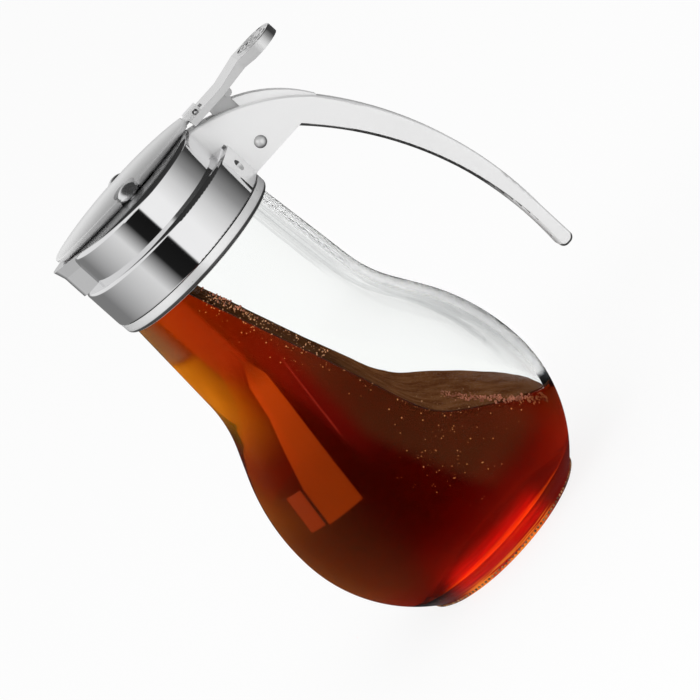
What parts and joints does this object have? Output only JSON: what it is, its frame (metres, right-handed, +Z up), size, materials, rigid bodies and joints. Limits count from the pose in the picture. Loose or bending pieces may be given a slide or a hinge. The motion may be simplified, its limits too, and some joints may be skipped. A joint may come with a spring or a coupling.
{
  "type": "syrup dispenser bottle",
  "caption": "Clear glass syrup jar with amber syrup, a chrome pour cap, a sliding leaf-shaped gate worked by a sprung thumb lever, and a curved metal handle.",
  "frame": {"origin": "centre of the flat ring that the jar stands on, on the jar's axis", "axes": "+Z up along the jar's axis; the pouring spout points to -X, the handle and thumb lever to +X; the part is the same on both sides of the plane Y = 0"},
  "size_m": [0.1223, 0.09, 0.1539],
  "materials": {
    "clear_glass": "polished clear glass",
    "amber_syrup": "thick clear amber liquid",
    "bright_chrome": "polished plating",
    "satin_metal": "satin plating"
  },
  "bodies": {
    "jar_body": {"jar": "clear_glass", "syrup": "amber_syrup", "cap": "bright_chrome", "handle": "satin_metal", "pivot_rivet": "satin_metal"},
    "gate_body": {"gate": "bright_chrome", "stud_left": "bright_chrome", "stud_right": "bright_chrome"},
    "lever_body": {"lever": "satin_metal", "link_pin": "satin_metal"}
  },
  "joints": [
    {"name": "lever_pivot", "type": "hinge", "parent": "jar_body", "child": "lever_body", "pos_m": [0.0364, 0, 0.1314], "axis": [0, 1, 0], "range_deg": [0, 22], "stiffness_Nm_per_rad": 0.25, "springref_deg": -17.19},
    {"name": "gate_slide", "type": "slide", "parent": "jar_body", "child": "gate_body", "axis": [1, 0, 0], "range_m": [0, 0.0073]}
  ],
  "couplings": [
    {"joint": "lever_pivot", "follows": "gate_slide", "rad_per_m": 52.4}
  ]
}
